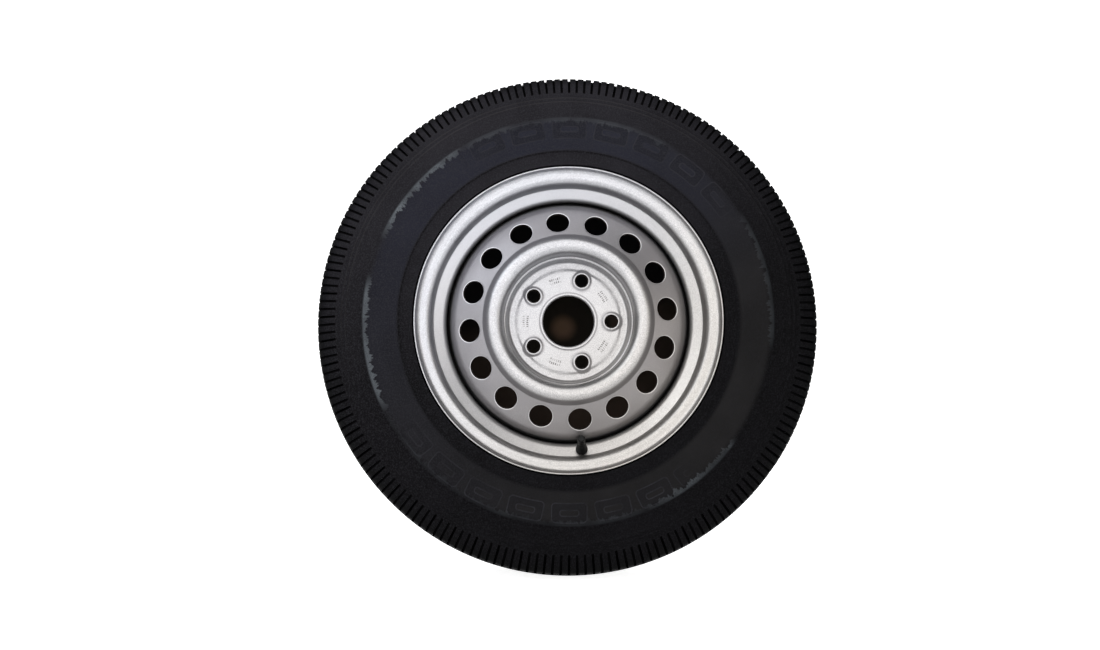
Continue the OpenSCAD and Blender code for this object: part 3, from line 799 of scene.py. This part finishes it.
# Painted reflection: a pale bluish band round the sidewall, the sky's light on its inner slope.
reflection_band_tone = m.mix(m.ramp(m.noise(14, 3), 0.3, 0.7), grey(0.0075), grey(0.0105))
reflection_band_tone = light_tinted(m, reflection_band_tone, (0.92, 0.94, 1.25, 1), (1.0, 0.96, 0.98, 1))
reflection_band_tone = m.mix(m.math("MULTIPLY", dust_and_top_light, 0.7), reflection_band_tone, (0.0156, 0.0166, 0.0262, 1))
tone = m.mix(m.band(m.radius, 0.2140, 0.2500, 0.0028, 0.005), tone, reflection_band_tone)
tone = m.mix(m.band(m.radius, 0.2110, 0.2126, 0.0008, 0.0008), tone, (0.0028, 0.0028, 0.0032, 1))
in_arc = m.math("MAXIMUM", *[arc_share(m, start, end, 1) for start, end in PANEL_ARCS])
panelled = m.math("MULTIPLY", in_arc, on_front)
panel_u = m.tile(PANELS)
panel_v = m.math("SUBTRACT", m.radius, PANEL_MID_R)
outer_edge = m.box(panel_u, panel_v, *PANEL_OUTER)
inner_edge = m.box(panel_u, panel_v, *PANEL_INNER)
raised = m.math("SUBTRACT", m.ramp(outer_edge, 0.0005, -0.0005), m.ramp(inner_edge, 0.0005, -0.0005))
raised = m.math("MULTIPLY", raised, panelled)
rubbed = m.ramp(m.noise(40, 3), 0.3, 0.65, 0.25, 1)
outline = m.math("ADD", *[m.band(edge, -0.0007, 0.0007, 0.0005) for edge in (outer_edge, inner_edge)])
outline = m.math("MULTIPLY", m.math("MULTIPLY", outline, panelled), rubbed)
tone = m.mix(m.math("MULTIPLY", raised, 0.45), tone, (0.006, 0.006, 0.0075, 1))
tone = m.mix(m.math("MULTIPLY", outline, 0.55), tone, (0.026, 0.026, 0.031, 1))
rings = m.math("ADD", m.band(m.radius, 0.2762, 0.2778, 0.0005), m.band(m.radius, 0.2818, 0.2832, 0.0005))
dusty_rings = m.math("MULTIPLY", m.math("MULTIPLY", rings, on_front), m.math("MULTIPLY", dust_and_top_light, 0.22))
tone = m.mix(dusty_rings, tone, (0.05, 0.047, 0.045, 1))
# Scuffs and a painted highlight along the sidewall's bulge, with a ragged inner edge.
teeth = m.noise(1.0, 4, 0.7, m.vector(m.math("MULTIPLY", m.angle, 24), m.math("MULTIPLY", m.radius, 20), 0))
inner_limit = m.math("ADD", 0.2445, m.math("MULTIPLY", m.ramp(teeth, 0.3, 0.7), 0.009))
past_limit = m.ramp(m.math("SUBTRACT", m.radius, inner_limit), -0.0004, 0.0012)
scuff_and_highlight = m.math("MULTIPLY", past_limit, m.ramp(m.radius, 0.2565, 0.2535))
patchy = m.ramp(m.noise(16, 3), 0.35, 0.6, 0.35, 1)
places = 0.0
for start, end, strength in SCUFF_AND_HIGHLIGHT_ARCS:
    places = m.math("MAXIMUM", places, arc_share(m, start, end, strength))
scuff_and_highlight = m.math("MULTIPLY", m.math("MULTIPLY", scuff_and_highlight, on_front), m.math("MULTIPLY", places, patchy))
tone = m.mix(m.math("MULTIPLY", scuff_and_highlight, 0.85), tone, (0.12, 0.135, 0.15, 1))
# Painted shade: the pale specks are dimmer on the lower right.
speck_tone = light_tinted(m, (0.021, 0.021, 0.0245, 1), (1, 1, 1, 1), (0.45, 0.45, 0.45, 1))
tone = m.mix(m.ramp(speck, 0.42, 0.68, 0, 0.6), tone, speck_tone)
# The band of the shoulder between the slots is made darker.
shoulder_band = m.math("MULTIPLY", m.ramp(m.radius, 0.300, 0.313), 0.55)
tone = m.mix(shoulder_band, tone, (0.0008, 0.0010, 0.0008, 1))
m.set(base_color=tone, roughness=m.ramp(mottle, 0.2, 0.8, 0.5, 0.62), specular_ior_level=0.02)
soft = m.bump(mottle, 0.0012, 0.25)
lines = m.bump(m.streaks(2, 900, 2), 0.0003, 0.35, soft)
m.put(m.shader.inputs["Normal"], m.bump(speck, 0.0003, 0.5, m.bump(raised, 0.0008, 0.6, lines)))
rubber = m.material
print("rubber:", len(m.tree.nodes), "nodes")

# %% [markdown]
# ## Silver paint
#
# Wheel paint is a grey lacquer with fine metal flakes. It could be a plain metal with some
# roughness, but the flakes, the faint polishing streaks and the dirt are what make it look
# sprayed and used. Brake dust with painted shade darkens the cone, painted shade darkens the ring
# round each boss and the collar's foot, and the gap between the disc and the rim is painted near
# black as shade. A painted highlight brightens the well's outboard wall and the edges of the holes,
# and painted light makes the paint cooler on the upper left and warmer on the lower right. One
# function makes all four coats, and each is told where its dirt, painted shade and painted
# highlight are.

# %% Silver paint


def silver(name, shade_and_dirt, dust_and_shade=lambda m: 0.0, stamped=lambda m: 0.0, highlight=lambda m: 0.0):
    """Worn silver wheel paint.

    The functions give the shares of painted shade and dark dirt, of grime from the brakes with painted
    shade, of stamped marks and of painted highlight.
    """
    m = Nodes(name)
    flake = m.noise(1050, 3, 0.75)
    cloud = m.noise(16, 4)
    streak = m.streaks(6, 420)
    base = m.mix(m.ramp(cloud, 0.3, 0.7), (0.31, 0.31, 0.312, 1), (0.345, 0.345, 0.346, 1))
    base = m.mix(m.ramp(streak, 0.25, 0.75, 0.3, 0), base, (0.22, 0.22, 0.222, 1))
    base = m.mix(m.ramp(flake, 0.5, 0.64, 0, 0.5), base, (0.56, 0.56, 0.565, 1))
    base = m.mix(m.ramp(flake, 0.5, 0.36, 0, 0.45), base, (0.16, 0.16, 0.162, 1))
    # Brake dust and painted shade: a patchy darker tone.
    patchy_dust_and_shade = m.math("MULTIPLY", dust_and_shade(m), m.ramp(cloud, 0.2, 0.8, 0.75, 1))
    base = m.mix(patchy_dust_and_shade, base, (0.195, 0.19, 0.195, 1))
    # Painted highlight: paler paint.
    base = m.mix(highlight(m), base, (0.44, 0.44, 0.442, 1))
    base = m.mix(stamped(m), base, (0.09, 0.087, 0.083, 1))
    # Painted light: the paint is brighter and cooler on the upper left and warmer on the lower right.
    base = light_tinted(m, base, (1.1, 1.115, 1.19, 1), (1.0, 0.96, 0.91, 1))
    # Painted shade, and on the welds dark dirt: near black and not metal.
    base = m.mix(shade_and_dirt(m), base, grey(0.004))
    rough = m.math("ADD", m.ramp(cloud, 0.2, 0.8, 0.36, 0.42), m.math("MULTIPLY", dust_and_shade(m), 0.06))
    m.set(base_color=base, metallic=m.ramp(shade_and_dirt(m), 0, 1, 1, 0), roughness=rough)
    fine = m.bump(flake, 0.00008, 0.5, m.bump(m.noise(240, 2), 0.0003, 0.12))
    m.put(m.shader.inputs["Normal"], m.bump(stamped(m), -0.0003, 0.7, m.bump(streak, 0.0002, 0.2, fine)))
    return m.material


def stamped_marks(m):
    """Short plain strokes stamped between the bolt holes, in two rows."""
    u = m.tile(BOLTS, math.pi / BOLTS)
    near = m.ramp(m.math("ABSOLUTE", u), 0.0085, 0.0075)
    from_stroke = m.math("ABSOLUTE", m.math("SUBTRACT", m.math("FRACT", m.math("DIVIDE", u, 0.0026)), 0.5))
    stroke = m.ramp(from_stroke, 0.26, 0.16)
    inner_row, outer_row = m.band(m.radius, 0.0523, 0.0548, 0.0002), m.band(m.radius, 0.0568, 0.0596, 0.0002)
    rows = m.math("MAXIMUM", inner_row, outer_row)
    worn = m.ramp(m.noise(330, 1), 0.45, 0.55)
    on_face = m.ramp(m.y, -0.034, -0.0348)
    marks = m.math("MULTIPLY", m.math("MULTIPLY", near, stroke), m.math("MULTIPLY", rows, on_face))
    return m.math("MULTIPLY", marks, m.math("ADD", m.math("MULTIPLY", worn, 0.6), 0.35))


def hub_shade_and_brake_dust(m):
    """Painted shade round the bosses and at the collar's foot, and grime from the brakes with painted shade
    on the cone.
    """
    u = m.tile(BOLTS)
    v = m.math("SUBTRACT", m.radius, BOLT_CIRCLE_R * MM)
    # Painted shade in a ring round each boss and at the collar's foot.
    round_boss = m.band(m.length(u, v), 0.0105, 0.0142, 0.0008, 0.0016)
    moat = m.math("MULTIPLY", round_boss, m.ramp(m.radius, 0.072, 0.069))
    foot = m.band(m.radius, 0.0374, 0.0386, 0.0003, 0.0008)
    on_hub = m.math("MAXIMUM", m.math("MULTIPLY", moat, 0.62), m.math("MULTIPLY", foot, 0.9))
    # Brake dust and painted shade on the cone.
    return m.math("MAXIMUM", on_hub, m.band(m.radius, 0.1035, 0.165, 0.003))


disc_paint = silver(
    "disc_paint",
    # Painted shade: the disc's bend is near black in the gap to the rim.
    lambda m: m.math("MULTIPLY", m.ramp(m.radius, 0.149, 0.154), m.ramp(m.y, -0.052, -0.044)),
    hub_shade_and_brake_dust,
    stamped_marks,
)


def wall_highlight(m):
    """A painted highlight on the well's outboard wall, strongest on the upper left."""
    return m.math("MULTIPLY", m.band(m.radius, 0.159, 0.1735, 0.002), m.ramp(m.warm_light_side, 1, 0, 0.1, 0.7))


rim_paint = silver(
    "rim_paint",
    # Painted shade: the well's inner wall is near black in the gap to the disc.
    lambda m: m.math("MULTIPLY", m.ramp(m.radius, 0.163, 0.1575), m.ramp(m.y, -0.049, -0.0455)),
    highlight=wall_highlight,
)
# Painted highlight: a paler ring round the edges of the vents and the bolt holes.
edge_highlight_paint = silver("edge_highlight_paint", lambda m: 0.0, highlight=lambda m: 1.0)
weld_paint = silver("weld_paint", lambda m: m.ramp(m.noise(60, 2), 0.55, 0.8, 0, 0.5))
print("silver paint:", len(disc_paint.node_tree.nodes), "nodes on the disc")

# %% [markdown]
# ## Small finishes
#
# The valve's brass, rubber and plastic are a few millimetres across, so they need no map of wear.
# One plain finish with a fine grain serves them all. It also gives the dark walls of the holes and
# slots, where the light of a soft studio never reaches.

# %% Small finishes


def plain(name, colour, roughness, metallic=0.0, gloss=0.15):
    """A simple finish with a fine grain and a slight change of tone."""
    m = Nodes(name)
    tone = m.mix(m.ramp(m.noise(120, 3), 0.35, 0.7), colour, tuple(0.7 * c for c in colour[:3]) + (1,))
    grain = m.ramp(m.noise(200, 2), 0.3, 0.7, roughness - 0.06, roughness + 0.06)
    m.set(base_color=tone, roughness=grain, metallic=metallic)
    m.set(specular_ior_level=0.5 if metallic else gloss)
    m.put(m.shader.inputs["Normal"], m.bump(m.noise(700, 2), 0.0001, 0.5))
    return m.material


finishes = {
    "valve_rubber": plain("valve_rubber", grey(0.004), 0.6),
    "stem_brass": plain("stem_brass", (0.55, 0.38, 0.16, 1), 0.35, 1.0),
    "core_brass": plain("core_brass", (0.6, 0.43, 0.2, 1), 0.3, 1.0),
    "seal_rubber": plain("seal_rubber", (0.05, 0.012, 0.01, 1), 0.6),
    "spring_steel": plain("spring_steel", grey(0.5), 0.3, 1.0),
    "cap_plastic": plain("cap_plastic", grey(0.004), 0.42),
    "tyre_rubber": rubber,
    "rim_paint": rim_paint,
    "disc_paint": disc_paint,
    "weld_paint": weld_paint,
}


def paint(piece, *coats):
    """Gives a piece its finishes, one for each slot."""
    mesh = piece.data
    # Clearing the slots also resets each face's choice, so only a CAD node's own slot is cleared.
    if mesh.materials:
        mesh.materials.clear()
    for coat in coats:
        mesh.materials.append(coat)


hole_shade = plain("hole_shade", (0.014, 0.011, 0.010, 1), 0.8, gloss=0.03)
slot_shade = plain("slot_shade", (0.0022, 0.0022, 0.0024, 1), 0.9, gloss=0.0)
paint(tyre, rubber, slot_shade)
paint(rim, rim_paint)
paint(disc, disc_paint, hole_shade, edge_highlight_paint)
NODE_SLOTS = {
    "tyre": "tyre_rubber", "rim": "rim_paint", "wheel_disc": "disc_paint", "disc_welds": "weld_paint",
    "valve_body": "valve_rubber", "valve_stem": "stem_brass", "core_plug": "core_brass",
    "core_barrel": "core_brass", "core_barrel_seal": "seal_rubber", "core_pin": "core_brass",
    "core_cup_seal": "seal_rubber", "core_spring": "spring_steel", "valve_cap": "cap_plastic",
    "cap_seal": "seal_rubber",
}
for node, slot in NODE_SLOTS.items():
    paint(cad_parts[node], finishes[slot])
print("painted:", len(NODE_SLOTS), "nodes with", len(finishes), "finishes")

# %% [markdown]
# ## The stage
#
# The wheel stands in front of white, and its openings show a brownish dark. A white world would do
# for the background, but it would also wash out the metal from every side. So a floor and a
# backdrop look white to the camera and in reflections, and their glow lights nothing else. A dark
# board of painted shade behind the disc shows through the openings from the front: a brownish dark,
# darker at the top, with a paler patch of painted light in the bore. It is clear from behind, and
# it casts no shadow.

# %% Stage
FLOOR_Z = -325
BOARD_R, BOARD_Y = 0.205, 0.1


def stage_plane(name, size, location, rotation):
    """A flat stage piece."""
    bm = bmesh.new()
    bmesh.ops.create_grid(bm, x_segments=1, y_segments=1, size=size / 2)
    bmesh.ops.transform(bm, verts=bm.verts, matrix=Matrix.Translation(location) @ rotation)
    piece = placed(bm, name)
    return piece


def seen_white(name, lift):
    """A pale diffuse surface that looks white to the camera and in reflections, apart from shadow."""
    material = bpy.data.materials.new(name)
    material.use_nodes = True
    tree = material.node_tree
    tree.nodes.clear()
    out = tree.nodes.new("ShaderNodeOutputMaterial")
    pale = tree.nodes.new("ShaderNodeBsdfDiffuse")
    pale.inputs["Color"].default_value = (0.8, 0.8, 0.8, 1)
    glow = tree.nodes.new("ShaderNodeEmission")
    path = tree.nodes.new("ShaderNodeLightPath")
    most = tree.nodes.new("ShaderNodeMath")
    most.operation = "MAXIMUM"
    tree.links.new(path.outputs["Is Camera Ray"], most.inputs[0])
    also = tree.nodes.new("ShaderNodeMath")
    also.operation = "MAXIMUM"
    tree.links.new(path.outputs["Is Glossy Ray"], also.inputs[0])
    tree.links.new(path.outputs["Is Transmission Ray"], also.inputs[1])
    tree.links.new(also.outputs[0], most.inputs[1])
    strength = tree.nodes.new("ShaderNodeMath")
    strength.operation = "MULTIPLY"
    strength.inputs[1].default_value = lift
    tree.links.new(most.outputs[0], strength.inputs[0])
    tree.links.new(strength.outputs[0], glow.inputs["Strength"])
    add = tree.nodes.new("ShaderNodeAddShader")
    tree.links.new(pale.outputs[0], add.inputs[0])
    tree.links.new(glow.outputs[0], add.inputs[1])
    tree.links.new(add.outputs[0], out.inputs["Surface"])
    return material


floor = stage_plane("floor", 12, Vector((0, 1.0, FLOOR_Z * MM - 0.0005)), Matrix.Identity(4))
paint(floor, seen_white("floor_white", 0.9))
backdrop = stage_plane("backdrop", 14, Vector((0, 3.2, 2.0)), Matrix.Rotation(math.radians(90), 4, "X"))
paint(backdrop, seen_white("backdrop_white", 1.0))

# %% Dark board
bm = bmesh.new()
bmesh.ops.create_circle(bm, cap_ends=True, segments=64, radius=BOARD_R)
bmesh.ops.rotate(bm, verts=bm.verts, cent=(0, 0, 0), matrix=Matrix.Rotation(math.radians(90), 3, "X"))
bmesh.ops.translate(bm, verts=bm.verts, vec=(0, BOARD_Y, 0))
shade_board = placed(bm, "painted_shade_board")
m = Nodes("board_painted_shade")
# Painted shade: a brownish dark, darker at the top, with a paler patch of painted light in the bore.
tone = m.mix(m.ramp(m.noise(9, 3), 0.4, 0.7), (0.03, 0.021, 0.016, 1), (0.045, 0.031, 0.024, 1))
top_shade = m.ramp(m.math("SUBTRACT", m.z, m.math("MULTIPLY", m.x, 0.2)), -0.01, 0.05)
tone = m.mix(top_shade, tone, (0.006, 0.005, 0.006, 1))
blob = m.length(m.math("ADD", m.x, 0.005), m.math("SUBTRACT", m.z, 0.006))
bore_lit_tone = m.mix(m.ramp(blob, 0.024, 0.006), (0.009, 0.007, 0.005, 1), (0.085, 0.052, 0.033, 1))
tone = m.mix(m.ramp(m.radius, 0.07, 0.06), tone, bore_lit_tone)
m.set(base_color=tone, roughness=0.8, specular_ior_level=0.1)
geometry = m.tree.nodes.new("ShaderNodeNewGeometry")
clear = m.tree.nodes.new("ShaderNodeBsdfTransparent")
choose = m.tree.nodes.new("ShaderNodeMixShader")
path = m.tree.nodes.new("ShaderNodeLightPath")
m.put(choose.inputs[0], m.math("MAXIMUM", geometry.outputs["Backfacing"], path.outputs["Is Shadow Ray"]))
m.tree.links.new(m.shader.outputs[0], choose.inputs[1])
m.tree.links.new(clear.outputs[0], choose.inputs[2])
m.tree.links.new(choose.outputs[0], m.tree.nodes["Material Output"].inputs["Surface"])
paint(shade_board, m.material)
print("stage:", floor.name, backdrop.name, shade_board.name)

# %% [markdown]
# ## Light
#
# The photograph has one broad soft light from the front, so the rings of the paint show wide pale
# highlights and hardly a shadow. A single sun would give hard edges. One large disc in front does
# most of the work, two weak ones make the left cooler and the right warmer, and one behind fills
# the back of the rim.

# %% Light


def area_light(name, location, size, power, colour):
    """A round soft lamp that faces the middle of the wheel."""
    data = bpy.data.lights.new(name, "AREA")
    data.shape = "DISK"
    data.size = size
    data.energy = power
    data.color = colour
    lamp = bpy.data.objects.new(name, data)
    lamp.location = location
    lamp.rotation_euler = (-Vector(location)).to_track_quat("-Z", "Y").to_euler()
    lamp.visible_camera = False
    bpy.context.scene.collection.objects.link(lamp)


area_light("front_softbox", (-0.35, -1.9, 0.6), 4.3, 118, (1.0, 0.99, 0.98))
area_light("left_window", (-2.0, -1.5, 1.6), 1.8, 12, (0.85, 0.93, 1.0))
area_light("right_warm", (2.0, -1.5, 0.2), 1.8, 12, (1.0, 0.96, 0.9))
area_light("rear_fill", (0.7, 2.3, 1.2), 1.6, 45, (0.97, 0.98, 1.0))

world = bpy.data.worlds.new("studio")
world.use_nodes = True
background = world.node_tree.nodes["Background"]
background.inputs["Color"].default_value = (0.9, 0.95, 1.0, 1)
background.inputs["Strength"].default_value = 0.04
bpy.context.scene.world = world
bpy.context.scene.view_settings.view_transform = "Standard"
print("lamps:", len(bpy.data.lights), "and a dim world")
